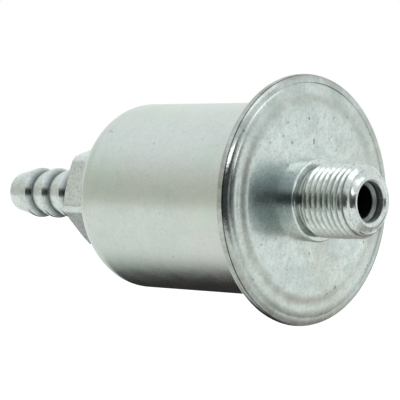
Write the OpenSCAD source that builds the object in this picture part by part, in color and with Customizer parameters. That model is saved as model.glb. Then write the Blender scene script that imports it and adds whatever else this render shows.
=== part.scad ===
// In-line metal canister fuel filter: a drawn steel can with a hemmed cover,
// a tapered-thread outlet nipple, a hex with a hose barb at the inlet, and a
// pleated paper element that a spring holds against the outlet.
// X runs along the filter, +X towards the threaded outlet. The origin is on
// the axis at the first thread crest next to the nipple's collar.

/* [Housing] */
// Outside diameter of the can body
can_d = 27.2; // [22.6:0.1:36]
// How far the hemmed rim stands out beyond the can's side
rim_overhang = 3.9; // [3.3:0.1:6]
// Length from the rim's front face to the corner of the can's end
can_len = 34.5; // [28.5:0.25:60]
// Outside radius where the can's side turns into its end
knuckle_r = 4.2; // [2:0.1:5.2]
// Outward rise of the can's end towards its middle
end_rise = 0.35; // [0:0.05:0.8]
// Steel sheet thickness of the can
can_t = 0.5; // [0.4:0.05:0.8]
// Steel sheet thickness of the cover
cover_t = 0.5; // [0.4:0.05:0.8]
// Thickness of the gasket squeezed inside the rim
gasket_t = 0.25; // [0.15:0.05:0.5]
// Length of the hem's return leg behind the rim
hem_leg = 1.2; // [0.6:0.1:1.4]
// Outside radius of the bend between the can's side and its flange
flange_bend_r = 0.8; // [0.4:0.1:1]
// How far the cover's middle panel stands forward of its rim
panel_rise = 0.3; // [0:0.05:0.6]
// Radial width of the sloping step around the cover's panel
panel_slope_w = 0.9; // [0.5:0.1:1.2]

/* [Outlet nipple] */
// Nominal outside diameter of the thread, where the stock cuts its crests off
thread_od = 10.287; // [8.5:0.001:13]
// How much smaller the last crest's diameter is than the nominal one
thread_tip_drop = 0.197; // [0:0.001:0.25]
// Thread pitch
thread_pitch = 0.9407; // [0.8:0.01:1.2]
// Number of full threads
thread_count = 8; // [5:1:9]
// Growth of the thread's diameter per unit of length
thread_taper = 0.0625; // [0:0.0125:0.0625]
// Width of the flat on each thread crest
crest_flat = 0.14; // [0.1:0.01:0.16]
// Length of the chamfered tip beyond the last thread
tip_len = 1.35; // [1:0.05:2]
// Diameter of the nipple's end face
tip_face_d = 6.8; // [6.4:0.1:7.4]
// Height of the collar's shoulder above the thread
collar_step = 0.65; // [0.4:0.05:2]
// Length of the collar
collar_len = 1.6; // [1:0.1:3]
// Length of the plain groove between the collar and the thread
relief_len = 0.95; // [0.6:0.05:1.5]
// Bore through the nipple
outlet_bore_d = 4.6; // [3.6:0.05:5.5]
// Diameter of the counterbore in the nipple's mouth
mouth_d = 5.6; // [5.2:0.1:6]
// Depth of the counterbore
mouth_depth = 1.4; // [0.6:0.1:3]

/* [Inlet fitting] */
// Width across the flats of the hexagon
hex_af = 14; // [12:0.5:16]
// Length of the hexagon
hex_len = 7.6; // [5:0.1:10]
// Turn of the hexagon about the axis, one corner from +Y towards +Z
hex_turn = 15; // [0:1:59]
// Diameter of the barb crests
barb_d = 7.75; // [6.4:0.05:9.4]
// Depth of the valleys between the crests
barb_depth = 0.725; // [0.4:0.025:1]
// Distance from one crest to the next
barb_pitch = 3.9; // [3.4:0.1:4.6]
// Number of crests
barb_count = 3; // [2:1:4]
// Width of the flat on each barb crest
barb_flat = 0.5; // [0.3:0.05:0.7]
// Plain length between the last crest and the hexagon
barb_neck_len = 5.1; // [3:0.1:8]
// Length of the tapered nose before the first crest
barb_nose_len = 4.3; // [3:0.1:6]
// Radial drop from the crests to the nose's end face
barb_nose_drop = 0.975; // [0.8:0.025:1.1]
// Wall around the bore at the nose's end face
barb_tip_wall = 0.8; // [0.6:0.05:1.2]

/* [Filter element] */
// Number of pleats
pleat_count = 32; // [20:1:36]
// Gap for fuel between the can's inside and the end caps
fuel_gap = 1.7; // [1:0.1:2.2]
// Gap between the core and the inner folds of the pleats
core_gap = 0.4; // [0.3:0.05:0.8]
// Radial distance between the paper's two faces
paper_shift = 2.2; // [1.8:0.1:3]
// Outside radius of the perforated core
core_r = 4.4; // [3.6:0.05:5.3]
// Wall of the perforated core
core_t = 0.35; // [0.25:0.05:0.5]
// Diameter of each hole in the core
core_hole_d = 1.3; // [0.8:0.1:1.6]
// Rows of holes along the core
core_hole_rows = 6; // [2:1:7]
// Holes around the core in each row
core_holes_round = 8; // [4:1:10]
// Sheet thickness of the two end caps
cap_t = 0.35; // [0.25:0.05:0.5]
// Depth of the potting compound in each end cap
potting_t = 1; // [0.6:0.1:1.6]
// Depth of each cap's rim
cap_rim_depth = 2.6; // [2:0.1:4]
// Thickness of the outlet seal ring
seal_t = 1.5; // [1:0.1:2.5]

/* [Spring] */
// Length of the spring when the element is seated
spring_len = 7.5; // [6:0.1:10]
// Diameter of the spring wire
wire_d = 0.8; // [0.6:0.05:1]
// Number of working turns
spring_turns = 3; // [2:0.5:4]
// Thickness of the washer under the spring
seat_t = 0.5; // [0.3:0.05:0.8]

/* [Hidden] */

round_fn = 96;
hole_fn = 24;
// How far outlines run past or into each other where they are joined or cut
overlap = 0.2;

// Colours
zinc = "#c3c8c6";
zinc_dark = "#aeb4b2";
braze = "#b98a52";
tinplate = "#b9bcbb";
nitrile = "#2b2b2c";
paper = "#d9c08a";
plastisol = "#c96a3a";
spring_steel = "#8f9496";

// Named clearances, and how far a cutting shape runs clear of what it cuts
hem_gap = 0.03;
clip_gap = 0.05;
cap_pleat_gap = 0.45;
spring_rim_gap = 0.2;
spring_fillet_gap = 0.4;
seat_fillet_gap = 0.3;
seat_end_gap = 0.4;
coil_gap = 0.04;
cut_clear = 1;

// Outlet nipple, from the first crest at x = 0 towards both ends
root_flat = 0.04;
thread_flank = (thread_pitch - crest_flat - root_flat) / 2;
thread_half_angle = 30;
thread_depth = thread_flank / tan(thread_half_angle);
thread_len = (thread_count - 1) * thread_pitch + crest_flat;
tip_x = thread_len + tip_len;
collar_x = -relief_len;
panel_x = collar_x - collar_len;
face_x = panel_x - panel_rise;
relief_r = thread_od / 2 - thread_depth;
collar_r = thread_od / 2 + collar_step;
outlet_spigot_wall = 1.2;
outlet_spigot_r = outlet_bore_d / 2 + outlet_spigot_wall;
outlet_spigot_len = 1;
mouth_chamfer = 0.25;
mouth_cone_len = 0.4;
collar_chamfer = 0.2;
lead_step = 0.25;
lead_len = 0.12;

// Rim: cover, gasket, can flange and the cover's hem lie one behind another
rim_t = 2 * cover_t + gasket_t + can_t;
rim_r = can_d / 2 + rim_overhang;
hem_r = rim_t / 2;
hem_centre_r = rim_r - hem_r;
flange_front_x = face_x - cover_t - gasket_t;
flange_rear_x = flange_front_x - can_t;
flange_r = hem_centre_r - hem_gap;
cover_inner_x = panel_x - cover_t;

// Can
can_r = can_d / 2;
bend_centre_r = can_r + flange_bend_r;
corner_x = face_x - can_len;
end_x = corner_x - end_rise;
end_inner_x = end_x + can_t;
panel_inset = 0.2;
panel_r = can_r - panel_inset;
panel_foot_r = panel_r + panel_slope_w;

// Inlet fitting
barb_tip_r = barb_d / 2 - barb_nose_drop;
inlet_bore_r = barb_tip_r - barb_tip_wall;
inlet_spigot_wall = 1.5;
inlet_spigot_r = inlet_bore_r + inlet_spigot_wall;
inlet_spigot_len = 1.1;
hex_far_x = end_x - hex_len;
hex_sides = 6;
hex_corner_r = hex_af / 2 / cos(180 / hex_sides);
hex_chamfer = 0.45;
hex_chamfer_margin = 0.15;
barb_valley_r = barb_d / 2 - barb_depth;
last_crest_x = hex_far_x - barb_neck_len - barb_flat;
first_crest_x = last_crest_x - (barb_count - 1) * barb_pitch;
barb_tip_x = first_crest_x - barb_nose_len;
barb_step = 0.7;
nose_chamfer = 0.35;

// Element pack, from the outlet seal back to the closed end
braze_leg = 0.8;
seal_gap = 1.7;
seal_width = 2.6;
seal_inner_r = outlet_spigot_r + braze_leg + seal_gap;
seal_outer_r = seal_inner_r + seal_width;
open_cap_x = cover_inner_x - seal_t;
open_potting_x = open_cap_x - cap_t;
media_front_x = open_potting_x - potting_t;
seat_x = end_inner_x + seat_t;
closed_cap_x = seat_x + spring_len;
closed_potting_x = closed_cap_x + cap_t;
media_rear_x = closed_potting_x + potting_t;
media_len = media_front_x - media_rear_x;
cap_outer_r = can_r - can_t - fuel_gap;
cap_inner_r = cap_outer_r - cap_t;
pleat_outer_r = cap_inner_r - cap_pleat_gap;
pleat_inner_r = core_r + core_gap;
core_front_x = open_potting_x;
core_rear_x = closed_potting_x;
open_hole_r = core_r - core_t;
core_hole_margin = 2.2;
seat_rim_h = 0.8;
seat_inner_r = inlet_spigot_r + braze_leg + seat_fillet_gap;
spring_r = inlet_spigot_r + braze_leg + spring_fillet_gap + wire_d / 2;
seat_rim_r = spring_r + wire_d / 2 + spring_rim_gap;
seat_outer_r = seat_rim_r + seat_t;
end_flat_r = seat_outer_r + seat_end_gap;
clip_t = 0.25;
clip_reach = 2;
valley_r = pleat_inner_r + paper_shift;
valley_angle = 180 / pleat_count;
pleat_slope = valley_r * sin(valley_angle) / (pleat_outer_r - valley_r * cos(valley_angle));
clip_half_w = clip_reach * pleat_slope + clip_gap;
clip_end_gap = 0.6;
spring_closed_turns = 1;
spring_steps_per_turn = 24;
spring_sides = 8;

// Turns a profile drawn as [radius, x] about the filter's axis
module turned() {
    rotate([0, 90, 0])
        rotate_extrude($fn = round_fn)
            children();
}

// Flat ring between two radii, from x0 to x1
module ring(inner_r, outer_r, x0, x1) {
    turned()
        translate([inner_r, x0])
            square([outer_r - inner_r, x1 - x0]);
}

// Triangular fillet of brazing metal around a spigot
module braze_fillet(r, x, direction) {
    turned()
        polygon([[r, x], [r + braze_leg, x], [r, x + direction * braze_leg]]);
}

// Outline of the can with its wall moved inwards by inset, up to top_x, drawn as [radius, x]
module can_outline(inset, top_x) {
    side_x = corner_x + knuckle_r;
    polygon([
        [0, end_x + inset],
        [end_flat_r, end_x + inset],
        [can_r - knuckle_r, corner_x + inset],
        [can_r - knuckle_r, side_x],
        [can_r - inset, side_x],
        [can_r - inset, top_x],
        [0, top_x]
    ]);
    intersection() {
        translate([can_r - knuckle_r, side_x])
            circle(r = knuckle_r - inset, $fn = round_fn);
        translate([can_r - knuckle_r - overlap, corner_x])
            square([knuckle_r + overlap, knuckle_r + overlap]);
    }
}

module housing_can() {
    bend_x = flange_rear_x - flange_bend_r;
    bend_outer_r = flange_bend_r + can_t;
    color(zinc)
        turned()
            difference() {
                union() {
                    can_outline(0, flange_front_x);
                    difference() {
                        translate([can_r - overlap, bend_x])
                            square([flange_bend_r + overlap, bend_outer_r]);
                        translate([bend_centre_r, bend_x])
                            circle(r = flange_bend_r, $fn = round_fn);
                    }
                    translate([bend_centre_r - overlap, flange_rear_x])
                        square([flange_r - bend_centre_r + overlap, can_t]);
                }
                can_outline(can_t, flange_front_x + cut_clear);
                difference() {
                    translate([can_r - can_t - overlap, bend_x])
                        square([bend_outer_r + overlap, bend_outer_r + cut_clear]);
                    translate([bend_centre_r, bend_x])
                        circle(r = bend_outer_r, $fn = round_fn);
                }
                translate([0, end_x - cut_clear])
                    square([inlet_spigot_r, can_t + 2 * cut_clear]);
            }
}

// Space outside the hem's round outer end, between two planes
module hem_end_space(x0, x1) {
    difference() {
        translate([hem_centre_r, x0 - overlap])
            square([hem_r + overlap, x1 - x0 + 2 * overlap]);
        translate([hem_centre_r, (x0 + x1) / 2])
            circle(r = (x1 - x0) / 2, $fn = round_fn);
    }
}

module cover_plate() {
    lip_r = hem_centre_r - hem_leg;
    hem_rear_x = flange_rear_x - cover_t;
    cover_inner_rim_x = face_x - cover_t;
    hollow_w = cover_inner_rim_x - flange_rear_x;
    color(zinc)
        turned()
            difference() {
                polygon([
                    [outlet_spigot_r, hem_rear_x],
                    [outlet_spigot_r, panel_x],
                    [panel_r, panel_x],
                    [panel_foot_r, face_x],
                    [rim_r, face_x],
                    [rim_r, hem_rear_x]
                ]);
                hem_end_space(hem_rear_x, face_x);
                difference() {
                    translate([lip_r - overlap, flange_rear_x])
                        square([hem_leg + overlap + hollow_w / 2, hollow_w]);
                    hem_end_space(flange_rear_x, cover_inner_rim_x);
                }
                polygon([
                    [0, hem_rear_x - cut_clear],
                    [0, cover_inner_x],
                    [panel_r, cover_inner_x],
                    [panel_foot_r, cover_inner_rim_x],
                    [lip_r, cover_inner_rim_x],
                    [lip_r, hem_rear_x - cut_clear]
                ]);
            }
}

module rim_gasket() {
    color(nitrile)
        ring(bend_centre_r, flange_r, flange_front_x, flange_front_x + gasket_t);
}

// Crests grow with the taper from the tip until the stock's own diameter cuts them off
function crest_r(i) = min(thread_od / 2,
    thread_od / 2 - thread_tip_drop / 2 + thread_taper / 2 * (thread_count - 1 - i) * thread_pitch);

// One thread ridge after another: flank up, crest flat, flank down
function thread_points() = [
    for (i = [0:thread_count - 1])
        each [
            [crest_r(i) - thread_depth, i * thread_pitch - thread_flank],
            [crest_r(i), i * thread_pitch],
            [crest_r(i), i * thread_pitch + crest_flat],
            [crest_r(i) - thread_depth, i * thread_pitch + crest_flat + thread_flank]
        ]
];

module outlet_nipple() {
    inner_x = cover_inner_x - outlet_spigot_len;
    last_root_r = crest_r(thread_count - 1) - thread_depth;
    color(zinc_dark)
        turned()
            polygon(concat(
                [
                    [outlet_bore_d / 2, inner_x],
                    [outlet_spigot_r, inner_x],
                    [outlet_spigot_r, panel_x],
                    [collar_r, panel_x],
                    [collar_r, collar_x - collar_chamfer],
                    [collar_r - collar_chamfer, collar_x],
                    [relief_r, collar_x]
                ],
                thread_points(),
                [
                    [last_root_r + lead_step, thread_len + thread_flank + lead_len],
                    [tip_face_d / 2, tip_x],
                    [mouth_d / 2 + mouth_chamfer, tip_x],
                    [mouth_d / 2, tip_x - mouth_chamfer],
                    [mouth_d / 2, tip_x - mouth_depth],
                    [outlet_bore_d / 2, tip_x - mouth_depth - mouth_cone_len]
                ]
            ));
}

module outlet_braze_ring() {
    color(braze)
        braze_fillet(outlet_spigot_r, cover_inner_x, -1);
}

// Nose, crests and neck of the hose barb, drawn as [radius, x]
function barb_points() = concat(
    [
        [inlet_bore_r, barb_tip_x],
        [barb_tip_r - nose_chamfer, barb_tip_x],
        [barb_tip_r, barb_tip_x + nose_chamfer]
    ],
    [
        for (i = [0:barb_count - 1])
            each [
                [barb_d / 2, first_crest_x + i * barb_pitch],
                [barb_d / 2, first_crest_x + i * barb_pitch + barb_flat],
                [barb_valley_r, first_crest_x + i * barb_pitch + barb_flat + barb_step]
            ]
    ]
);

module inlet_fitting() {
    color(zinc_dark)
        union() {
            turned()
                polygon(concat(
                    barb_points(),
                    [
                        [barb_valley_r, hex_far_x],
                        [barb_valley_r, end_x],
                        [inlet_spigot_r, end_x],
                        [inlet_spigot_r, end_inner_x + inlet_spigot_len],
                        [inlet_bore_r, end_inner_x + inlet_spigot_len]
                    ]
                ));
            difference() {
                intersection() {
                    translate([hex_far_x, 0, 0])
                        rotate([hex_turn, 0, 0])
                            rotate([0, 90, 0])
                                rotate([0, 0, 90])
                                    cylinder(r = hex_corner_r, h = hex_len, $fn = hex_sides);
                    turned()
                        polygon([
                            [0, hex_far_x],
                            [hex_af / 2 + hex_chamfer_margin, hex_far_x],
                            [hex_corner_r, hex_far_x + hex_chamfer],
                            [hex_corner_r + cut_clear, hex_far_x + hex_chamfer],
                            [hex_corner_r + cut_clear, end_x],
                            [0, end_x]
                        ]);
                }
                turned()
                    translate([0, hex_far_x - cut_clear])
                        square([inlet_bore_r, hex_len + 2 * cut_clear]);
            }
        }
}

module inlet_braze_ring() {
    color(braze)
        braze_fillet(inlet_spigot_r, end_inner_x, 1);
}

module spring_seat_washer() {
    color(tinplate)
        turned() {
            translate([seat_inner_r, end_inner_x])
                square([seat_outer_r - seat_inner_r, seat_t]);
            translate([seat_rim_r, end_inner_x])
                square([seat_t, seat_t + seat_rim_h]);
        }
}

// Helix of the spring: height rises slowly over the closed end turns
spring_all_turns = spring_turns + 2 * spring_closed_turns;
spring_x0 = seat_x + wire_d / 2;
spring_x1 = closed_cap_x - wire_d / 2;
function spring_rise(t) =
    let (closed = (wire_d + coil_gap) * spring_closed_turns)
    let (open = spring_x1 - spring_x0 - 2 * closed)
    t < spring_closed_turns ? closed * t / spring_closed_turns
    : t > spring_all_turns - spring_closed_turns
        ? closed + open + closed * (t - spring_all_turns + spring_closed_turns) / spring_closed_turns
    : closed + open * (t - spring_closed_turns) / spring_turns;
function spring_ring(t) = [
    for (k = [0:spring_sides - 1])
        let (a = 360 * k / spring_sides, r = spring_r + wire_d / 2 * cos(a), w = 360 * t)
        [spring_x0 + spring_rise(t) + wire_d / 2 * sin(a), r * cos(w), r * sin(w)]
];

module element_spring() {
    steps = spring_all_turns * spring_steps_per_turn;
    points = [for (i = [0:steps]) each spring_ring(i / spring_steps_per_turn)];
    sides = [
        for (i = [0:steps - 1])
            for (k = [0:spring_sides - 1])
                let (a = i * spring_sides + k)
                let (b = i * spring_sides + (k + 1) % spring_sides)
                [a, b, b + spring_sides, a + spring_sides]
    ];
    first = [for (k = [spring_sides - 1:-1:0]) k];
    last = [for (k = [0:spring_sides - 1]) steps * spring_sides + k];
    color(spring_steel)
        polyhedron(points = points, faces = concat(sides, [first, last]), convexity = 8);
}

module closed_end_cap() {
    color(tinplate)
        turned() {
            translate([0, closed_cap_x])
                square([cap_outer_r, cap_t]);
            translate([cap_inner_r, closed_cap_x])
                square([cap_t, cap_rim_depth]);
        }
}

module closed_end_potting() {
    color(plastisol)
        ring(core_r, cap_inner_r, closed_potting_x, closed_potting_x + potting_t);
}

module open_end_cap() {
    color(tinplate)
        turned() {
            translate([open_hole_r, open_potting_x])
                square([cap_outer_r - open_hole_r, cap_t]);
            translate([cap_inner_r, open_cap_x - cap_rim_depth])
                square([cap_t, cap_rim_depth]);
        }
}

module open_end_potting() {
    color(plastisol)
        ring(core_r, cap_inner_r, media_front_x, open_potting_x);
}

// Zigzag outline between two radii, one peak and one valley for each pleat
function zigzag(peak, valley) = [
    for (i = [0:2 * pleat_count - 1])
        let (a = 180 * i / pleat_count, r = i % 2 == 0 ? peak : valley)
        [r * cos(a), r * sin(a)]
];

module pleated_media() {
    color(paper)
        translate([media_rear_x, 0, 0])
            rotate([0, 90, 0])
                linear_extrude(height = media_len)
                    difference() {
                        polygon(zigzag(pleat_outer_r, valley_r));
                        polygon(zigzag(pleat_outer_r - paper_shift, pleat_inner_r));
                    }
}

module media_seam_clip() {
    clip_x = closed_cap_x + cap_rim_depth + clip_end_gap;
    clip_len = open_cap_x - cap_rim_depth - clip_end_gap - clip_x;
    top = pleat_outer_r + clip_gap;
    color(tinplate)
        translate([clip_x, 0, 0])
            rotate([0, 90, 0])
                linear_extrude(height = clip_len)
                    difference() {
                        translate([top - clip_reach, -clip_half_w - clip_t])
                            square([clip_reach + clip_t, 2 * (clip_half_w + clip_t)]);
                        translate([top - clip_reach - overlap, -clip_half_w])
                            square([clip_reach + overlap, 2 * clip_half_w]);
                    }
}

module core_tube() {
    core_len = core_front_x - core_rear_x;
    row_pitch = (core_len - 2 * core_hole_margin) / (core_hole_rows - 1);
    color(tinplate)
        difference() {
            ring(open_hole_r, core_r, core_rear_x, core_front_x);
            for (row = [0:core_hole_rows - 1])
                for (k = [0:core_holes_round - 1])
                    translate([core_rear_x + core_hole_margin + row * row_pitch, 0, 0])
                        rotate([360 / core_holes_round * (k + (row % 2) / 2), 0, 0])
                            cylinder(d = core_hole_d, h = core_r + cut_clear, $fn = hole_fn);
        }
}

module outlet_seal_ring() {
    color(nitrile)
        ring(seal_inner_r, seal_outer_r, open_cap_x, cover_inner_x);
}

housing_can();
cover_plate();
rim_gasket();
outlet_nipple();
outlet_braze_ring();
inlet_fitting();
inlet_braze_ring();
spring_seat_washer();
element_spring();
closed_end_cap();
closed_end_potting();
pleated_media();
media_seam_clip();
core_tube();
open_end_potting();
open_end_cap();
outlet_seal_ring();
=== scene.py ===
"""Looks of an in-line metal canister fuel filter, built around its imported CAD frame.

Lengths are in millimetres, in the CAD frame, and MM turns them into metres.
Outlines are lists of (radius, x) about the filter's axis, which is X.
"""

import math

import bmesh
import bpy
from mathutils import Matrix, Vector


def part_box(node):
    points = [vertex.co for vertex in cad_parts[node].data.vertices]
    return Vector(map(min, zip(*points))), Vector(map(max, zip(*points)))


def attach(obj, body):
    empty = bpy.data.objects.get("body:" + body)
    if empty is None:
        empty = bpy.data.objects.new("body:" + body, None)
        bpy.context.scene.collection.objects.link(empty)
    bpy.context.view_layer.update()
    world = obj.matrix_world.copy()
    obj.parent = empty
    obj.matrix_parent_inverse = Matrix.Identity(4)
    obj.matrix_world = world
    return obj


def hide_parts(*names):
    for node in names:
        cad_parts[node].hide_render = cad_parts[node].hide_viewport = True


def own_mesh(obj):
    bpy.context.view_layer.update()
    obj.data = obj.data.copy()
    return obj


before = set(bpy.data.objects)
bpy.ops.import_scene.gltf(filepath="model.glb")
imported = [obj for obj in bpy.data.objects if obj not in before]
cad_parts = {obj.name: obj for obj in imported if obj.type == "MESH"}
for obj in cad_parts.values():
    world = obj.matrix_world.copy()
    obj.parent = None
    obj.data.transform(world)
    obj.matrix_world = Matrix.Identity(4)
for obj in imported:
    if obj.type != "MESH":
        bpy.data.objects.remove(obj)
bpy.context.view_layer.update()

MM = 0.001
TURN = 2 * math.pi


def node_x(node):
    """Lowest and highest x of a CAD node, in millimetres."""
    low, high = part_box(node)
    return low.x / MM, high.x / MM


def node_radius(node):
    """Largest radius of a round CAD node, in millimetres."""
    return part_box(node)[1].z / MM


# ---------------------------------------------------------------- sizes
AROUND = 240                      # columns around a turned piece
FILLET_STEPS = 6                  # steps along a small fillet
FILLET_SHARE = 0.49               # the most of a side that one fillet may take

# Cover and rim
SHEET = 0.5                       # thickness of the cover and the can
rim_rear_x, panel_x = node_x("cover_plate")
rim_r = node_radius("cover_plate")
PANEL_RISE = 0.3                  # panel in front of the face round it
PANEL_R = 13.4
PANEL_SLOPE = 0.9                 # width of the step from panel to face
STEP_SPREAD = 0.55                # how much wider the softened step is on each side
PANEL_STEPS = 16
face_x = panel_x - PANEL_RISE
hem_r = (face_x - rim_rear_x) / 2
hem_mid_x = (face_x + rim_rear_x) / 2
hem_centre_r = rim_r - hem_r
HEM_LEG = 1.2                     # leg of the hem, inwards behind the flange
HEM_CREASE = 27                   # degrees from the widest point to the fold's crease
HEM_END = 84                      # degrees from the widest point to the end of the round
HEM_STEPS = 24
HEM_INNER_STEPS = 16
LIP_ROUND = 0.18
LIP_INNER_ROUND = 0.12

# Can
can_end_x, flange_front_x = node_x("housing_can")
flange_r = node_radius("housing_can")
flange_rear_x = rim_rear_x + SHEET
CAN_R = 13.6
FLANGE_BEND_R = 0.8               # inside the bend from can to flange
BEND_STEPS = 8
KNUCKLE_R = 4.2
KNUCKLE_TURN = 88                 # degrees that the knuckle turns
KNUCKLE_STEPS = 28
KNUCKLE_INNER_STEPS = 20
END_RISE = 0.35                   # the end's middle behind the knuckle
END_FLAT_R = 6.7
END_FLAT_EDGE = 1.2               # edge of that flat which its rounding may use
END_ROUND = 2.0

# Outlet nipple
nipple_x0, nipple_x1 = node_x("outlet_nipple")
OUTLET_SPIGOT_R = 3.5
SPIGOT_ROUND = 0.15
OUTLET_BORE_R = 2.3
COLLAR_R = 5.79
COLLAR_FRONT_X = -0.95
COLLAR_ROUND = 0.28
MOUTH_R = 2.8
MOUTH_DEPTH = 1.4
MOUTH_CHAMFER = 0.25
MOUTH_ROUND = 0.12
MOUTH_FLOOR_ROUND = 0.1
DRILL_CONE = 0.4                  # length of the cone between mouth and bore
TIP_FACE_R = 3.4
TIP_ROUND = 0.35
PITCH = 0.9407
THREADS = 8
CREST_FLAT = 0.14
ROOT_FLAT = 0.04
THREAD_OD = 10.287
LAST_CREST_R = 5.045
TAPER = 0.0625                    # 1 in 16, on the diameter
FLANK = (PITCH - CREST_FLAT - ROOT_FLAT) / 2
THREAD_DEPTH = FLANK / math.tan(math.radians(30))
THREAD_EDGE_X = 0.02              # rounding of the thread's edges, along the axis
THREAD_EDGE_R = 0.03              # and in depth
THREAD_START_X = -0.55
LEAD_X = 7.23                     # start of the chamfer at the thread's end
LEAD_R = 4.63
LEAD_RUN = 0.45                   # how far the thread runs on into the chamfer
RELIEF_R = THREAD_OD / 2 - THREAD_DEPTH
RELIEF_CORNER = 0.1
RELIEF_END_X = -0.46
RELIEF_SLOPE = 1.8                # rise of the first thread for each length out of the relief
ROOT_MARGIN = 0.14                # how far the last roots may lie below the relief

# Inlet fitting
barb_tip_x, spigot_x = node_x("inlet_fitting")
HEX_AF = 14.0                     # across the flats
HEX_LEN = 7.6
HEX_TURN = math.radians(15)
HEX_ROUND = math.radians(3.2)     # half of the angle that a rounded corner takes
HEX_CROWN = 2.4                   # how far a rounded corner bulges
HEX_CORNER_STEPS = 5
HEX_FLAT_STEPS = 24
HEX_EDGE = 0.06                   # small break along the hexagon's edges
HEX_CHAMFER = 0.45
HEX_CHAMFER_R = HEX_AF / 2 + 0.15
HEX_CHAMFER_REACH = 0.93          # from the chamfer's start out to a corner
HEX_LEAST_CHAMFER = 0.03
INLET_SPIGOT_R = 3.6
INLET_BORE_R = 2.1
BARB_R = 3.875
BARB_VALLEY_R = 3.15
BARB_TIP_R = 2.9
BARB_TIP_ROUND = 0.45
BARB_BORE_ROUND = 0.15
BARB_CREST_ROUND = 0.2
BARB_BACK_ROUND = 0.1
BARB_VALLEY_ROUND = 0.15
BARB_PITCH = 3.9
BARB_FLAT = 0.5
BARB_STEP = 0.7                   # length of the slope behind a crest
BARB_NECK = 5.1
BARBS = 3
hex_far_x = can_end_x - HEX_LEN

# Inside
PLEATS = 32
PLEAT_STEPS = 14
PLEAT_OUTER_R = 10.6
PLEAT_INNER_R = 4.8
PAPER_SHIFT = 2.2                 # radial distance between the paper's two faces
FOLD_SHARPNESS = 0.97             # 1 would fold the paper to an edge
WIRE_R = 0.4
WIRE_SIDES = 14
SPRING_R = 5.2
SPRING_TURNS = 3
SPRING_STEPS = 48                 # steps along one turn
CLOSED_PITCH = 0.84


def crest_x(i):
    """Start of one of the barb's crests, counted from the nose."""
    return hex_far_x - BARB_NECK - BARB_FLAT - (BARBS - 1 - i) * BARB_PITCH


# ---------------------------------------------------------------- mesh tools
def rounded(before, corner, after, fillet):
    """Arc of points that rounds a corner between its two neighbours."""
    here = Vector(corner)
    to_last = Vector(before) - here
    to_next = Vector(after) - here
    half = to_last.angle(to_next) / 2
    longest = FILLET_SHARE * min(to_last.length, to_next.length)
    reach = min(fillet / math.tan(half), longest)
    inwards = (to_last.normalized() + to_next.normalized()).normalized()
    middle = here + inwards * (reach * math.tan(half) / math.sin(half))
    start = here + to_last.normalized() * reach - middle
    end = here + to_next.normalized() * reach - middle
    sweep = start.angle_signed(end)
    points = []
    for k in range(FILLET_STEPS + 1):
        arm = start.copy()
        arm.rotate(Matrix.Rotation(-sweep * k / FILLET_STEPS, 2))
        points.append(tuple(middle + arm))
    return points


def filleted(corners):
    """Closed outline from (radius, x, fillet) corners, each rounded by its own fillet radius."""
    points = []
    for i, (r, x, fillet) in enumerate(corners):
        if fillet > 0:
            after = corners[(i + 1) % len(corners)]
            points += rounded(corners[i - 1][:2], (r, x), after[:2], fillet)
        else:
            points.append((r, x))
    return points


def arc(centre_r, centre_x, radius, start, end, steps):
    """Points on an arc; angles in degrees, 0 pointing outwards and 90 towards +X."""
    points = []
    for k in range(steps + 1):
        angle = math.radians(start + (end - start) * k / steps)
        points.append((centre_r + radius * math.cos(angle), centre_x + radius * math.sin(angle)))
    return points


def around_axis(r, x, angle):
    """The point at radius r and place x, turned by angle from +Y towards +Z, in metres."""
    return (x * MM, r * math.cos(angle) * MM, r * math.sin(angle) * MM)


def mesh_object(name, verts, faces, crease):
    """Closed mesh object with outward normals; edges sharper than crease degrees stay sharp."""
    mesh = bpy.data.meshes.new(name)
    mesh.from_pydata(verts, [], faces)
    bm = bmesh.new()
    bm.from_mesh(mesh)
    bmesh.ops.remove_doubles(bm, verts=bm.verts, dist=1e-7)
    bmesh.ops.dissolve_degenerate(bm, edges=bm.edges, dist=1e-7)
    bmesh.ops.recalc_face_normals(bm, faces=bm.faces)
    bm.to_mesh(mesh)
    bm.free()
    mesh.shade_smooth()
    mesh.set_sharp_from_angle(angle=math.radians(crease))
    piece = bpy.data.objects.new(name, mesh)
    bpy.context.scene.collection.objects.link(piece)
    return piece


def column_mesh(name, columns, crease, closed=True):
    """Ring-shaped mesh from closed columns of points. The last column is joined to the first,
    unless closed is False: then it already lies on the first, with its points in another order."""
    rows = len(columns[0])
    verts = [point for column in columns for point in column]
    faces = []
    for c in range(len(columns) if closed else len(columns) - 1):
        here, there = c * rows, (c + 1) % len(columns) * rows
        for k in range(rows):
            up = (k + 1) % rows
            faces.append((here + k, here + up, there + up, there + k))
    return mesh_object(name, verts, faces, crease)


def lathe(name, outline, crease):
    """Closed outline of (radius, x) points turned about the filter's axis."""
    columns = []
    for c in range(AROUND):
        angle = TURN * c / AROUND
        columns.append([around_axis(r, x, angle) for r, x in outline])
    return column_mesh(name, columns, crease)


def fit(piece, body, slot, material, *nodes):
    """The piece rides on body, takes material as its finish and stands for the CAD nodes; slot is not
    used.
    """
    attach(piece, body)
    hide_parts(*nodes)
    piece.data.materials.clear()
    piece.data.materials.append(material)
    return piece


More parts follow.
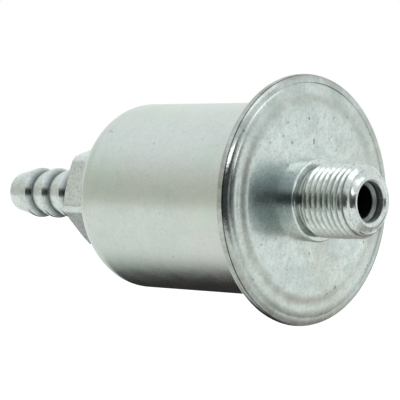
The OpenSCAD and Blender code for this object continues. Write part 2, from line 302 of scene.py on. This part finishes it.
# ---------------------------------------------------------------- materials
class Graph:
    """Node helpers that the materials and the studio's surround share."""

    def __init__(self, tree):
        self.nodes, self.links = tree.nodes, tree.links

    def remap(self, value, low, high, to_low, to_high, smooth=False):
        """The value stretched from one range to another, and kept inside it."""
        node = self.nodes.new("ShaderNodeMapRange")
        node.interpolation_type = "SMOOTHSTEP" if smooth else "LINEAR"
        node.inputs["From Min"].default_value = low
        node.inputs["From Max"].default_value = high
        node.inputs["To Min"].default_value = to_low
        node.inputs["To Max"].default_value = to_high
        self.links.new(value, node.inputs["Value"])
        return node.outputs["Result"]

    def times(self, a, b):
        """Product of a and b; b may be a number."""
        node = self.nodes.new("ShaderNodeMath")
        node.operation = "MULTIPLY"
        self.links.new(a, node.inputs[0])
        if isinstance(b, (int, float)):
            node.inputs[1].default_value = b
        else:
            self.links.new(b, node.inputs[1])
        return node.outputs["Value"]

    def blend(self, share, under, over):
        """under where share is 0, over where it is 1; each is a colour or a socket."""
        mix = self.nodes.new("ShaderNodeMix")
        mix.data_type = "RGBA"
        share_in, under_in, over_in, result = mix.inputs[0], mix.inputs[6], mix.inputs[7], mix.outputs[2]
        self.links.new(share, share_in)
        for tone, socket in ((under, under_in), (over, over_in)):
            if isinstance(tone, tuple):
                socket.default_value = (*tone, 1)
            else:
                self.links.new(tone, socket)
        return result


class Surface(Graph):
    """A procedural material on one Principled shader, with helpers for its patterns."""

    def __init__(self, name, metallic, roughness, color):
        self.material = bpy.data.materials.new(name)
        self.material.use_nodes = True
        super().__init__(self.material.node_tree)
        self.shader = self.nodes["Principled BSDF"]
        self.shader.inputs["Metallic"].default_value = metallic
        self.shader.inputs["Roughness"].default_value = roughness
        self.shader.inputs["Base Color"].default_value = (*color, 1)
        self.color = color
        self.coords = self.nodes.new("ShaderNodeTexCoord").outputs["Object"]
        self.relief = None

    def stretched(self, scale):
        """Object coordinates scaled along each axis."""
        mapping = self.nodes.new("ShaderNodeMapping")
        mapping.inputs["Scale"].default_value = scale
        self.links.new(self.coords, mapping.inputs["Vector"])
        return mapping.outputs["Vector"]

    def noise(self, scale, detail=4, roughness=0.55, distortion=0.0, vector=None):
        """Noise between 0 and 1; scale is in features per metre."""
        node = self.nodes.new("ShaderNodeTexNoise")
        node.inputs["Scale"].default_value = scale
        node.inputs["Detail"].default_value = detail
        node.inputs["Roughness"].default_value = roughness
        node.inputs["Distortion"].default_value = distortion
        self.links.new(vector or self.coords, node.inputs["Vector"])
        return node.outputs["Fac"]

    def rings(self, per_metre, distortion):
        """Fine turning marks around the axis, spaced along it."""
        node = self.nodes.new("ShaderNodeTexWave")
        node.wave_type = "BANDS"
        node.bands_direction = "X"
        node.inputs["Scale"].default_value = per_metre
        node.inputs["Distortion"].default_value = distortion
        node.inputs["Detail"].default_value = 2
        self.links.new(self.coords, node.inputs["Vector"])
        return node.outputs["Fac"]

    def across(self, place):
        """Length of a vector's part across the filter's axis."""
        cut = self.nodes.new("ShaderNodeVectorMath")
        cut.operation = "MULTIPLY"
        cut.inputs[1].default_value = (0, 1, 1)
        self.links.new(place, cut.inputs[0])
        length = self.nodes.new("ShaderNodeVectorMath")
        length.operation = "LENGTH"
        self.links.new(cut.outputs["Vector"], length.inputs[0])
        return length.outputs["Value"]

    def radius(self):
        """Distance from the filter's axis, in metres."""
        return self.across(self.coords)

    def along(self):
        """Place along the filter's axis, in metres."""
        split = self.nodes.new("ShaderNodeSeparateXYZ")
        self.links.new(self.coords, split.inputs["Vector"])
        return split.outputs["X"]

    def spot(self, y_mm, z_mm, inner_mm, outer_mm):
        """1 within inner_mm of a line along the axis at y, z, falling to 0 at outer_mm."""
        shift = self.nodes.new("ShaderNodeVectorMath")
        shift.operation = "SUBTRACT"
        shift.inputs[1].default_value = (0, y_mm * MM, z_mm * MM)
        self.links.new(self.coords, shift.inputs[0])
        distance = self.across(shift.outputs["Vector"])
        return self.remap(distance, inner_mm * MM, outer_mm * MM, 1, 0, smooth=True)

    def ramp(self, place, start_mm, end_mm, first=0, last=1):
        """first up to one place, last beyond the other, and a straight change between them."""
        return self.remap(place, start_mm * MM, end_mm * MM, first, last)

    def band(self, place, centre_mm, half_mm):
        """1 at the centre of a soft band of places, falling to 0 at its edges."""
        low, centre, high = (centre_mm - half_mm) * MM, centre_mm * MM, (centre_mm + half_mm) * MM
        rise = self.remap(place, low, centre, 0, 1, smooth=True)
        fall = self.remap(place, centre, high, 1, 0, smooth=True)
        return self.times(rise, fall)

    def uneven(self, noise, least, most):
        """Noise turned into a value that wanders between least and most."""
        usual_low, usual_high = 0.3, 0.7
        return self.remap(noise, usual_low, usual_high, least, most)

    def tint(self, factor, color, strength=1.0):
        """Mixes a colour over the colour so far, by factor."""
        if strength != 1.0:
            factor = self.times(factor, strength)
        self.color = self.blend(factor, self.color, color)
        self.links.new(self.color, self.shader.inputs["Base Color"])

    def mottle(self, noise, low, high, color, strength, smooth=False):
        """Tints the places where the noise is above low, fully where it is above high."""
        self.tint(self.remap(noise, low, high, 0, 1, smooth), color, strength)

    def rough(self, value):
        """Sets the roughness from a pattern."""
        self.links.new(value, self.shader.inputs["Roughness"])

    def bump(self, value, depth_mm):
        """Adds relief of the given depth, over any relief already there."""
        node = self.nodes.new("ShaderNodeBump")
        node.inputs["Strength"].default_value = 1.0
        node.inputs["Distance"].default_value = depth_mm * MM
        self.links.new(value, node.inputs["Height"])
        if self.relief:
            self.links.new(self.relief, node.inputs["Normal"])
        self.relief = node.outputs["Normal"]
        self.links.new(self.relief, self.shader.inputs["Normal"])


def zinc(name, color, cloud, fine, specks, dent_mm, grain_mm):
    """Bright zinc plate: clouds, fine mottling and small dark specks, over faint dents and grain.
    cloud, fine and specks say how strong each is; dent_mm and grain_mm are depths."""
    s = Surface(name, 1.0, 0.2, color)
    s.mottle(s.noise(150, 6, 0.62, 0.6), 0.44, 0.66, (0.47, 0.53, 0.52), cloud)
    s.mottle(s.noise(95, 3, 0.5), 0.50, 0.70, (0.80, 0.76, 0.66), 0.6 * cloud)
    s.mottle(s.noise(900, 4, 0.7), 0.40, 0.66, (0.50, 0.53, 0.52), 0.6 * cloud)
    s.mottle(s.noise(2100, 3, 0.8), 0.48, 0.68, (0.26, 0.29, 0.28), fine)
    s.mottle(s.noise(1100, 2, 0.5), 0.70, 0.74, (0.14, 0.14, 0.13), specks)
    s.bump(s.noise(230, 3, 0.5), dent_mm)
    s.bump(s.noise(2600, 3, 0.6), grain_mm)
    return s


def can_zinc():
    """The can's satin plate: faint pink and green patches, and drawing lines along it."""
    s = zinc("can_zinc", (0.69, 0.715, 0.68), cloud=0.22, fine=0.12, specks=0.3,
             dent_mm=0.005, grain_mm=0.0015)
    s.mottle(s.noise(48, 2, 0.5), 0.46, 0.64, (0.68, 0.61, 0.58), 0.45, smooth=True)
    s.mottle(s.noise(66, 2, 0.5), 0.50, 0.66, (0.60, 0.72, 0.61), 0.45, smooth=True)
    s.rough(s.uneven(s.noise(420, 5, 0.65), 0.21, 0.29))
    s.bump(s.noise(900, 3, 0.5, 0, s.stretched((0.06, 1, 1))), 0.0012)
    return s.material


def cover_zinc():
    """The cover's clouded plate: brownish in patches from the panel's foot outwards, painted shade at
    the panel's step, a glossier rim and a painted dark blue-grey reflection beside the nipple."""
    # Band of painted shade, tinted brownish, at the panel's foot.
    foot_r, foot_shade_spread = 14.1, 1.5
    rim_start_r, rim_full_r = 14.8, 16.8
    edge_start_r, edge_full_r = 16.85, 17.15
    gloss_start_r, gloss_full_r = 15.8, 16.8
    # Place and reach of the painted dark reflection beside the nipple.
    reflection_y, reflection_z, reflection_core, reflection_reach = -8.6, 0.6, 2.2, 6.4
    s = zinc("cover_zinc", (0.77, 0.82, 0.80), cloud=0.72, fine=0.38, specks=0.8,
             dent_mm=0.010, grain_mm=0.008)
    s.mottle(s.noise(330, 5, 0.7, 0.8), 0.46, 0.66, (0.52, 0.60, 0.57), 0.5)
    radius = s.radius()
    # Brownish tints broken up by noise: the band at the panel's foot is painted shade of the step,
    # tinted brownish; the rim and edge bands grow browner outwards.
    broken_up = s.remap(s.noise(240, 5, 0.7, 0.5), 0.32, 0.62, 0.25, 1.0)
    for zone, brown_and_shade, strength in (
            (s.band(radius, foot_r, foot_shade_spread), (0.40, 0.38, 0.33), 0.6),
            (s.ramp(radius, rim_start_r, rim_full_r), (0.33, 0.32, 0.29), 0.6),
            (s.ramp(radius, edge_start_r, edge_full_r), (0.24, 0.22, 0.19), 0.3)):
        s.tint(s.times(zone, broken_up), brown_and_shade, strength)
    # Painted dark blue-grey reflection of the room beside the nipple.
    s.tint(s.spot(reflection_y, reflection_z, reflection_core, reflection_reach), (0.20, 0.27, 0.30), 0.65)
    patchy = s.uneven(s.noise(420, 5, 0.65), 0.20, 0.30)
    s.rough(s.times(patchy, s.ramp(radius, gloss_start_r, gloss_full_r, 1.0, 0.5)))
    return s.material


def fitting_zinc():
    """Turned fittings: glossier plate with fine turning marks, and painted shade in the bores, in the
    thread's roots, on the mouth's floor and behind the barb's crests."""
    edge, fade = 0.02, 0.15           # from a bore's wall to where its shade starts and ends
    thread_start_x, thread_end_x = (-1.0, -0.9), (7.0, 7.2)
    root_r, flank_r = 4.48, 4.80
    floor_r, floor_half = 2.6, 0.2
    shoulder_gap, shoulder_half = 0.05, 0.85
    s = zinc("fitting_zinc", (0.77, 0.80, 0.78), cloud=0.45, fine=0.45, specks=0.6,
             dent_mm=0.006, grain_mm=0.005)
    radius, along = s.radius(), s.along()
    # Painted shade in the thread's roots, only along the threaded length.
    on_thread = s.times(s.ramp(along, *thread_start_x), s.ramp(along, *thread_end_x, 1, 0))
    roots = s.times(s.ramp(radius, root_r, flank_r, 1, 0), on_thread)
    s.tint(roots, (0.20, 0.23, 0.22), 0.75)
    # Painted shade inside the outlet bore.
    bore_shade = s.ramp(radius, OUTLET_BORE_R + edge, OUTLET_BORE_R + fade, 1, 0)
    s.tint(bore_shade, (0.05, 0.055, 0.055))
    # Painted shade on the floor of the mouth's counterbore.
    s.tint(s.band(radius, floor_r, floor_half), (0.30, 0.32, 0.31), 0.8)
    # Painted shade across the slope and valley behind each barb's crest.
    for i in range(BARBS):
        shoulder_x = crest_x(i) + BARB_FLAT + BARB_STEP + shoulder_gap
        s.tint(s.band(along, shoulder_x, shoulder_half), (0.13, 0.15, 0.15), 0.9)
    in_mouth = s.ramp(radius, MOUTH_R + edge, MOUTH_R + fade, 3.0, 1.0)
    s.rough(s.times(s.uneven(s.noise(420, 5, 0.65), 0.12, 0.22), in_mouth))
    s.bump(s.rings(2600, 1.5), 0.0010)
    return s.material


def tinplate():
    """Bright tinplate with rolling lines."""
    s = Surface("tinplate", 1.0, 0.25, (0.68, 0.68, 0.66))
    s.mottle(s.noise(300), 0.4, 0.7, (0.50, 0.50, 0.48), 0.6)
    s.rough(s.uneven(s.noise(700), 0.18, 0.36))
    s.bump(s.noise(1500, 3, 0.5, 0, s.stretched((1, 0.08, 1))), 0.003)
    return s.material


def spring_steel():
    """Drawn wire: dark and uneven."""
    s = Surface("spring_steel", 1.0, 0.3, (0.40, 0.41, 0.42))
    s.mottle(s.noise(800), 0.45, 0.65, (0.22, 0.21, 0.20), 0.6)
    s.rough(s.uneven(s.noise(1200, 3), 0.24, 0.42))
    s.bump(s.noise(3000, 3), 0.003)
    return s.material


def nitrile():
    """Moulded black rubber with a dusty bloom."""
    s = Surface("nitrile", 0.0, 0.7, (0.03, 0.03, 0.032))
    s.mottle(s.noise(500, 5), 0.45, 0.75, (0.09, 0.09, 0.088), 0.6)
    s.rough(s.uneven(s.noise(900), 0.6, 0.85))
    s.bump(s.noise(2500), 0.01)
    return s.material


def braze():
    """Copper brazing metal, flowed and slightly tarnished."""
    s = Surface("braze", 1.0, 0.35, (0.72, 0.43, 0.26))
    s.mottle(s.noise(600), 0.4, 0.7, (0.40, 0.22, 0.14), 0.7)
    s.rough(s.uneven(s.noise(900), 0.28, 0.5))
    s.bump(s.noise(1400), 0.02)
    return s.material


def filter_paper():
    """Resin-treated paper: fibres over a warm, uneven tone."""
    s = Surface("filter_paper", 0.0, 0.85, (0.78, 0.62, 0.38))
    s.mottle(s.noise(350, 5), 0.4, 0.7, (0.62, 0.46, 0.26), 0.6)
    fibres = s.noise(2400, 3, 0.5, 1.5, s.stretched((0.3, 1, 1)))
    s.mottle(fibres, 0.5, 0.7, (0.88, 0.76, 0.54), 0.5)
    s.bump(s.noise(2600, 4, 0.6, 1.0), 0.02)
    return s.material


def plastisol():
    """Cured potting compound: orange-brown, poured, with small pits."""
    s = Surface("plastisol", 0.0, 0.5, (0.56, 0.19, 0.08))
    s.mottle(s.noise(400), 0.4, 0.7, (0.42, 0.12, 0.05), 0.6)
    s.rough(s.uneven(s.noise(700), 0.4, 0.65))
    s.bump(s.noise(1100), 0.03)
    return s.material


# ---------------------------------------------------------------- housing
def make_can():
    """Drawn can: rounded knuckle, slightly raised end, flange bent out under the cover."""
    corner_x = can_end_x + END_RISE
    side_x = corner_x + KNUCKLE_R
    knuckle_centre_r = CAN_R - KNUCKLE_R
    bend_x = flange_rear_x - FLANGE_BEND_R
    bend_centre_r = CAN_R + FLANGE_BEND_R
    flat_edge = (END_FLAT_R - END_FLAT_EDGE, can_end_x)
    foot = (knuckle_centre_r, corner_x)
    outline = [(INLET_SPIGOT_R, can_end_x), flat_edge]
    outline += rounded(flat_edge, (END_FLAT_R, can_end_x), foot, END_ROUND) + [foot]
    outline += arc(knuckle_centre_r, side_x, KNUCKLE_R, -KNUCKLE_TURN, 0, KNUCKLE_STEPS)
    outline += arc(bend_centre_r, bend_x, FLANGE_BEND_R, 180, 90, BEND_STEPS)
    outline += [(flange_r, flange_rear_x), (flange_r, flange_front_x)]
    outline += arc(bend_centre_r, bend_x, FLANGE_BEND_R + SHEET, 90, 180, BEND_STEPS)
    outline += arc(knuckle_centre_r, side_x, KNUCKLE_R - SHEET, 0, -KNUCKLE_TURN, KNUCKLE_INNER_STEPS)
    outline += [(END_FLAT_R, can_end_x + SHEET), (INLET_SPIGOT_R, can_end_x + SHEET)]
    return lathe("can_shell", outline, crease=50)


def rim_front():
    """Front of the hem: a fine groove, a slightly convex chamfer, then the crease of the fold.
    Points are (out from the hem's centre, back from the face)."""
    groove = [(-0.52, 0.0), (-0.43, 0.09), (-0.34, 0.13)]
    inner, outer = Vector((-0.25, 0.03)), Vector((0.67, 0.36))
    crease = [(0.58, 0.52), (0.775, 0.47)]
    bulge, steps = 0.04, 8
    along = outer - inner
    outward = Vector((along.y, -along.x)).normalized()
    chamfer = []
    for k in range(steps + 1):
        share = k / steps
        chamfer.append(tuple(inner + along * share + outward * bulge * math.sin(math.pi * share)))
    return groove + chamfer + crease


def make_cover():
    """Cover: raised panel, face, and a hem rolled round the can's flange."""
    inner_x = panel_x - SHEET
    inner_face_x = face_x - SHEET
    lip_r = hem_centre_r - HEM_LEG
    foot_r = PANEL_R + PANEL_SLOPE
    outline = [(OUTLET_SPIGOT_R, inner_x), (OUTLET_SPIGOT_R, panel_x)]
    for k in range(PANEL_STEPS + 1):
        share = k / PANEL_STEPS
        r = PANEL_R - STEP_SPREAD + (PANEL_SLOPE + 2 * STEP_SPREAD) * share
        outline.append((r, face_x + PANEL_RISE * (1 + math.cos(math.pi * share)) / 2))
    outline += [(hem_centre_r + out, face_x - down) for out, down in rim_front()]
    outline += arc(hem_centre_r, hem_mid_x, hem_r, HEM_CREASE, -HEM_END, HEM_STEPS)
    outline += filleted([
        (hem_centre_r, rim_rear_x, 0), (lip_r, rim_rear_x, LIP_ROUND),
        (lip_r, flange_rear_x, LIP_INNER_ROUND), (hem_centre_r, flange_rear_x, 0)])
    outline += arc(hem_centre_r, hem_mid_x, hem_r - SHEET, -HEM_END, HEM_END, HEM_INNER_STEPS)
    outline += [(hem_centre_r, inner_face_x), (foot_r, inner_face_x), (PANEL_R, inner_x)]
    return lathe("cover_shell", outline, crease=50)


def crest_radius(x):
    """Radius of the thread's crests at x: the taper, cut off by the stock's diameter."""
    last_x = (THREADS - 1) * PITCH
    return min(THREAD_OD / 2, LAST_CREST_R + TAPER / 2 * (last_x - x))


def thread_limit(x):
    """Largest radius left by the relief at one end and the chamfer at the other."""
    relief = RELIEF_R + max(0.0, x - RELIEF_END_X) * RELIEF_SLOPE
    slope = (LEAD_R - TIP_FACE_R) / (nipple_x1 - LEAD_X)
    chamfer = LEAD_R + slope * (LEAD_X - x)
    return min(relief, chamfer)


def turn_shape():
    """One turn of the thread from its crest: (along the axis, depth below the crest)."""
    edge_x, edge_r = THREAD_EDGE_X, THREAD_EDGE_R
    root_x = CREST_FLAT + FLANK
    return [
        (0.0, edge_r), (edge_x, 0.0), (CREST_FLAT - edge_x, 0.0), (CREST_FLAT, edge_r),
        (CREST_FLAT + FLANK / 2, THREAD_DEPTH / 2), (root_x - edge_x, THREAD_DEPTH - edge_r),
        (root_x, THREAD_DEPTH), (root_x + ROOT_FLAT, THREAD_DEPTH),
        (root_x + ROOT_FLAT + edge_x, THREAD_DEPTH - edge_r), (PITCH - FLANK / 2, THREAD_DEPTH / 2)]


def thread_outline(share, start_x, end_x):
    """Outline of the right-handed thread where it is cut at share of a turn."""
    outline = []
    for turn in range(-2, THREADS + 1):
        for offset, depth in turn_shape():
            x = (turn + share) * PITCH + offset
            x = min(max(x, start_x), end_x)
            r = max(min(crest_radius(x) - depth, thread_limit(x)), RELIEF_R - ROOT_MARGIN)
            if x in (start_x, end_x):
                r = thread_limit(x)
            outline.append((r, x))
    return outline


def make_nipple():
    """Nipple with a helical taper thread, collar, chamfered tip and counterbore."""
    thread_end_x = LEAD_X + LEAD_RUN
    mouth_floor_x = nipple_x1 - MOUTH_DEPTH
    before = filleted([
        (OUTLET_BORE_R, nipple_x0, 0), (OUTLET_SPIGOT_R, nipple_x0, SPIGOT_ROUND),
        (OUTLET_SPIGOT_R, panel_x, 0), (COLLAR_R, panel_x, 0), (COLLAR_R, COLLAR_FRONT_X, COLLAR_ROUND),
        (RELIEF_R + RELIEF_CORNER, COLLAR_FRONT_X, 0), (RELIEF_R, COLLAR_FRONT_X + RELIEF_CORNER, 0),
        (RELIEF_R, THREAD_START_X, 0)])
    after = filleted([
        (thread_limit(thread_end_x), thread_end_x, 0), (TIP_FACE_R, nipple_x1, TIP_ROUND),
        (MOUTH_R + MOUTH_CHAMFER, nipple_x1, MOUTH_ROUND), (MOUTH_R, nipple_x1 - MOUTH_CHAMFER, 0),
        (MOUTH_R, mouth_floor_x, MOUTH_FLOOR_ROUND), (OUTLET_BORE_R, mouth_floor_x - DRILL_CONE, 0)])
    columns = []
    for c in range(AROUND + 1):
        share = c / AROUND
        outline = before + thread_outline(share, THREAD_START_X, thread_end_x) + after
        columns.append([around_axis(r, x, TURN * share) for r, x in outline])
    return column_mesh("nipple_turned", columns, crease=32, closed=False)


def hex_outline():
    """Angles and radii around a hexagon with slightly rounded corners."""
    sixth = TURN / 6
    flat_r = HEX_AF / 2
    edge_r = flat_r / math.cos(sixth / 2 - HEX_ROUND)
    bulge = HEX_CROWN * (1 - math.sqrt(math.cos(HEX_ROUND)))
    outline = []
    for side in range(6):
        corner = HEX_TURN + side * sixth
        for k in range(-HEX_CORNER_STEPS, HEX_CORNER_STEPS + 1):
            share = k / HEX_CORNER_STEPS
            outline.append((corner + HEX_ROUND * share, edge_r * (1 + bulge * (1 - share ** 2))))
        for k in range(1, HEX_FLAT_STEPS):
            from_corner = HEX_ROUND + (sixth - 2 * HEX_ROUND) * k / HEX_FLAT_STEPS
            outline.append((corner + from_corner, flat_r / math.cos(from_corner - sixth / 2)))
    return outline


def barb_profile():
    """Bore, nose, barb crests and neck as a rounded outline, from the bore to the hexagon."""
    corners = [
        (INLET_BORE_R, spigot_x, 0), (INLET_BORE_R, barb_tip_x, BARB_BORE_ROUND),
        (BARB_TIP_R, barb_tip_x, BARB_TIP_ROUND)]
    for i in range(BARBS):
        x = crest_x(i)
        corners += [
            (BARB_R, x, BARB_CREST_ROUND), (BARB_R, x + BARB_FLAT, BARB_BACK_ROUND),
            (BARB_VALLEY_R, x + BARB_FLAT + BARB_STEP, BARB_VALLEY_ROUND)]
    return filleted(corners + [(BARB_VALLEY_R, hex_far_x, 0)])


def make_inlet():
    """Hexagon with a chamfered far face, joined to the hose barb and the spigot in the can."""
    barb = barb_profile()
    columns = []
    for angle, r in hex_outline():
        chamfer = HEX_CHAMFER * max(0.0, r - HEX_CHAMFER_R) / HEX_CHAMFER_REACH
        outline = barb + [
            (min(HEX_CHAMFER_R, r - HEX_EDGE), hex_far_x),
            (r, hex_far_x + max(chamfer, HEX_LEAST_CHAMFER)),
            (r, can_end_x - HEX_EDGE), (r - HEX_EDGE, can_end_x),
            (INLET_SPIGOT_R, can_end_x), (INLET_SPIGOT_R, spigot_x)]
        columns.append([around_axis(radius, x, angle) for radius, x in outline])
    return column_mesh("inlet_turned", columns, crease=35)


# ---------------------------------------------------------------- inside
def make_media():
    """Pleated paper with rounded folds, between the two potting rings."""
    x0, x1 = node_x("pleated_media")
    steps = PLEAT_STEPS * PLEATS
    loops = []
    for shift in (PAPER_SHIFT, 0.0):
        low, high = PLEAT_INNER_R + shift, PLEAT_OUTER_R - PAPER_SHIFT + shift
        loop = []
        for k in range(steps):
            wave = math.cos(TURN * PLEATS * k / steps)
            folded = math.asin(FOLD_SHARPNESS * wave) / math.asin(FOLD_SHARPNESS)
            loop.append(((low + high) / 2 + (high - low) / 2 * folded, TURN * k / steps))
        loops.append(loop)
    outer, inner = loops
    verts = []
    for loop, x in ((outer, x0), (outer, x1), (inner, x1), (inner, x0)):
        verts += [around_axis(r, x, angle) for r, angle in loop]
    faces = []
    for ring in range(4):
        for k in range(steps):
            after = (k + 1) % steps
            here, there = ring * steps, (ring + 1) % 4 * steps
            faces.append((here + k, here + after, there + after, there + k))
    return mesh_object("media_pleats", verts, faces, crease=60)


def make_spring():
    """Coil spring with closed ends, between the seat washer and the closed end cap."""
    x0, x1 = node_x("element_spring")
    turns = SPRING_TURNS + 2
    start, end = x0 + WIRE_R, x1 - WIRE_R
    open_len = end - start - 2 * CLOSED_PITCH
    steps = turns * SPRING_STEPS
    verts, faces = [], []
    for k in range(steps + 1):
        t = k / SPRING_STEPS
        if t < 1:
            x = start + CLOSED_PITCH * t
        elif t > turns - 1:
            x = end - CLOSED_PITCH * (turns - t)
        else:
            x = start + CLOSED_PITCH + open_len * (t - 1) / SPRING_TURNS
        for side in range(WIRE_SIDES):
            angle = TURN * side / WIRE_SIDES
            r = SPRING_R + WIRE_R * math.cos(angle)
            verts.append(around_axis(r, x + WIRE_R * math.sin(angle), TURN * t))
    for k in range(steps):
        for side in range(WIRE_SIDES):
            a, b = k * WIRE_SIDES + side, k * WIRE_SIDES + (side + 1) % WIRE_SIDES
            faces.append((a, b, b + WIRE_SIDES, a + WIRE_SIDES))
    faces.append(tuple(range(WIRE_SIDES)))
    faces.append(tuple(steps * WIRE_SIDES + side for side in reversed(range(WIRE_SIDES))))
    return mesh_object("spring_coil", verts, faces, crease=50)


# ---------------------------------------------------------------- build
fitting_material = fitting_zinc()
fit(make_can(), "housing", "can_zinc", can_zinc(), "housing_can")
fit(make_cover(), "housing", "cover_zinc", cover_zinc(), "cover_plate")
fit(make_nipple(), "housing", "fitting_zinc", fitting_material, "outlet_nipple")
fit(make_inlet(), "housing", "fitting_zinc", fitting_material, "inlet_fitting")
fit(make_media(), "element", "filter_paper", filter_paper(), "pleated_media")
spring = fit(make_spring(), "housing", "spring_steel", spring_steel(), "element_spring")
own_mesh(spring)

# The other nodes are shown by their CAD meshes, which only get a finish
for finish, nodes in (
        (nitrile(), ("rim_gasket", "outlet_seal_ring")),
        (braze(), ("outlet_braze_ring", "inlet_braze_ring")),
        (tinplate(), ("spring_seat_washer", "closed_end_cap", "media_seam_clip", "core_tube",
                      "open_end_cap")),
        (plastisol(), ("closed_end_potting", "open_end_potting"))):
    for node in nodes:
        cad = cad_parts[node]
        cad.data.materials.clear()
        cad.data.materials.append(finish)


# ---------------------------------------------------------------- camera
def facing(azimuth, elevation):
    """Unit vector towards a compass angle and a height angle, in degrees.
    Azimuth 0 is the side that faces -Y, and 90 the side that faces +X."""
    a, e = math.radians(azimuth), math.radians(elevation)
    return (math.sin(a) * math.cos(e), -math.cos(a) * math.cos(e), math.sin(e))


AZIMUTH, ELEVATION = 43.9, 1.83
RIM_RIGHT, RIM_DOWN, RIM_AHEAD = 15.22, 0.03, 276.7     # rim centre as the camera sees it
back = Vector(facing(AZIMUTH, ELEVATION))
right = Vector((math.cos(math.radians(AZIMUTH)), math.sin(math.radians(AZIMUTH)), 0))
up = back.cross(right)
rim_centre = Vector((face_x * MM, 0, 0))
camera_place = rim_centre + (back * RIM_AHEAD - right * RIM_RIGHT + up * RIM_DOWN) * MM

camera_data = bpy.data.cameras.new("camera")
camera_data.lens = 180
camera_data.sensor_width = 36
camera_data.clip_start = 0.01
camera_data.clip_end = 50
camera = bpy.data.objects.new("camera", camera_data)
bpy.context.scene.collection.objects.link(camera)
camera_turn = Matrix((right, up, back)).transposed().to_4x4()
camera.matrix_world = Matrix.Translation(camera_place) @ camera_turn
bpy.context.scene.camera = camera


# ---------------------------------------------------------------- stage and light
FLOOR_Z = -0.11                   # metres, like all sizes of the stage and the lights
FLOOR_SIZE = 6
LIGHT_DISTANCE = 1.2
SOFTBOXES = (                     # name, azimuth, elevation, width, height and watts
    ("key", 110, 42, 0.62, 0.46, 0.65),
    ("strip", 92, 15.5, 0.30, 0.13, 0.34))


def make_floor():
    """A pale, faintly glowing square under the object, which isn't part of it."""
    half = FLOOR_SIZE / 2
    mesh = bpy.data.meshes.new("floor")
    mesh.from_pydata(
        [(-half, -half, 0), (half, -half, 0), (half, half, 0), (-half, half, 0)], [], [(0, 1, 2, 3)])
    floor = bpy.data.objects.new("floor", mesh)
    bpy.context.scene.collection.objects.link(floor)
    floor.matrix_world = Matrix.Translation((0, 0, FLOOR_Z))
    floor.visible_glossy = False
    material = bpy.data.materials.new("pale_floor")
    material.use_nodes = True
    shader = material.node_tree.nodes["Principled BSDF"]
    shader.inputs["Base Color"].default_value = (0.86, 0.86, 0.86, 1)
    shader.inputs["Roughness"].default_value = 0.8
    shader.inputs["Emission Color"].default_value = (1, 1, 1, 1)
    shader.inputs["Emission Strength"].default_value = 0.35
    mesh.materials.append(material)


def softbox(name, azimuth, elevation, width, height, power):
    """A rectangular area light in the given direction, aimed at the object."""
    data = bpy.data.lights.new(name, "AREA")
    data.shape = "RECTANGLE"
    data.size, data.size_y = width, height
    data.energy = power
    lamp = bpy.data.objects.new(name, data)
    bpy.context.scene.collection.objects.link(lamp)
    place = Vector(facing(azimuth, elevation)) * LIGHT_DISTANCE
    aim = (-place).to_track_quat("-Z", "Y").to_matrix().to_4x4()
    lamp.matrix_world = Matrix.Translation(place) @ aim
    lamp.visible_camera = False


class Surround(Graph):
    """The studio as the metal sees it: a soft tone for each direction."""

    def __init__(self, world):
        super().__init__(world.node_tree)
        self.direction = self.nodes.new("ShaderNodeTexCoord").outputs["Generated"]
        split = self.nodes.new("ShaderNodeSeparateXYZ")
        self.links.new(self.direction, split.inputs["Vector"])
        self.x, self.y, self.z = split.outputs

    def share(self, value, zero_at, one_at):
        """0 on one side of two values and 1 on the other, smooth between; either may be larger."""
        return self.remap(value, zero_at, one_at, 0, 1, smooth=True)

    def towards(self, azimuth, elevation):
        """Cosine of the angle from the given direction."""
        dot = self.nodes.new("ShaderNodeVectorMath")
        dot.operation = "DOT_PRODUCT"
        dot.inputs[1].default_value = facing(azimuth, elevation)
        self.links.new(self.direction, dot.inputs[0])
        return dot.outputs["Value"]


def studio_tone(s):
    """Tone of each direction: sky over table, a dark card low at the -X side and the dark room
    that the camera stands in."""
    low_sky, high_sky, back_sky = (0.60, 0.62, 0.56), (0.90, 0.96, 0.98), (0.90, 0.95, 0.94)
    low_table, far_table, front_table = (0.42, 0.42, 0.39), (1.0, 1.05, 1.02), (0.90, 0.95, 0.92)
    card_black, room_dark = (0.03, 0.03, 0.03), (0.055, 0.065, 0.07)
    room_azimuth, room_elevation = 62, 2
    sky = s.blend(s.share(s.z, 0.10, 0.75), low_sky, high_sky)
    sky = s.blend(s.share(s.y, -0.25, 0.55), sky, back_sky)
    back_table = s.blend(s.share(s.z, -0.60, -0.15), low_table, far_table)
    table = s.blend(s.share(s.y, 0.0, 0.6), front_table, back_table)
    card = s.times(s.share(s.y, -0.33, 0.32), s.share(s.x, -0.80, -0.73))
    card = s.times(card, s.share(s.x, 0.1, -0.35))
    table = s.blend(card, table, card_black)
    tone = s.blend(s.share(s.z, -0.20, -0.02), table, sky)
    towards_room = s.share(s.towards(room_azimuth, room_elevation), 0.50, 0.72)
    room = s.times(towards_room, s.share(s.z, -0.27, -0.12))
    room = s.times(room, s.share(s.z, 0.36, 0.20))
    return s.blend(room, tone, room_dark)


def light_studio(world):
    """White behind the object for the camera; the studio's tones all round for reflections."""
    s = Surround(world)
    surround = s.nodes["Background"]
    s.links.new(studio_tone(s), surround.inputs["Color"])
    backdrop = s.nodes.new("ShaderNodeBackground")
    backdrop.inputs["Color"].default_value = (1, 1, 1, 1)
    rays = s.nodes.new("ShaderNodeLightPath")
    choose = s.nodes.new("ShaderNodeMixShader")
    s.links.new(rays.outputs["Is Camera Ray"], choose.inputs["Fac"])
    s.links.new(surround.outputs["Background"], choose.inputs[1])
    s.links.new(backdrop.outputs["Background"], choose.inputs[2])
    s.links.new(choose.outputs["Shader"], s.nodes["World Output"].inputs["Surface"])


studio = bpy.data.worlds.new("studio")
bpy.context.scene.world = studio
studio.use_nodes = True
light_studio(studio)
for lamp in SOFTBOXES:
    softbox(*lamp)
make_floor()

bpy.context.scene.view_settings.view_transform = "Standard"
